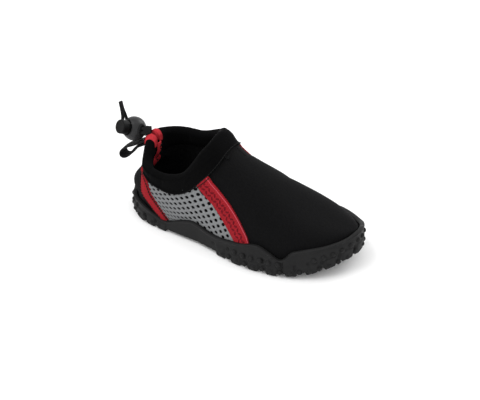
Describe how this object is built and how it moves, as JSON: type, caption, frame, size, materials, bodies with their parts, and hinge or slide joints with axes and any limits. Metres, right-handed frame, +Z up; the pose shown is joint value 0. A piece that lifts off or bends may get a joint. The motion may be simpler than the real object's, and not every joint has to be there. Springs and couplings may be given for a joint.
{
  "type": "water shoe",
  "caption": "Child's slip-on neoprene water shoe for the right foot, with a lugged rubber sole, side mesh panels, a heel drawcord with cord lock and a pull loop.",
  "frame": {"origin": "on the floor under the middle of the shoe, measured without the drawcord and its lock", "axes": "+X towards the toe, +Y towards the inner (big toe) side, +Z up"},
  "size_m": [0.1921, 0.0776, 0.0728],
  "materials": {
    "sole_rubber": "matt",
    "insole_foam": "matt",
    "neoprene": "matt knit",
    "grey_mesh": "open mesh",
    "red_tape": "woven",
    "webbing": "woven",
    "cord": "braided",
    "lock_plastic": "satin"
  },
  "bodies": {
    "shoe": {"outsole": "sole_rubber", "insole": "insole_foam", "upper": "neoprene", "collar": "neoprene", "mesh_panel_outer": "grey_mesh", "mesh_panel_inner": "grey_mesh", "front_ribbon_outer": "red_tape", "front_ribbon_inner": "red_tape", "rear_piping_outer": "red_tape", "rear_piping_inner": "red_tape", "end_binding_outer": "red_tape", "end_binding_inner": "red_tape", "heel_seam_tape": "red_tape", "pull_loop": "webbing", "drawcord_outer": "cord", "drawcord_inner": "cord", "lock_ball": "lock_plastic"},
    "button": {"lock_button": "lock_plastic"}
  },
  "joints": [
    {"name": "lock_button_slide", "type": "slide", "parent": "shoe", "child": "button", "axis": [0.3555, 0.814, -0.4594], "range_m": [0, 0.0025], "stiffness_N_per_m": 400, "springref_m": -0.003}
  ]
}
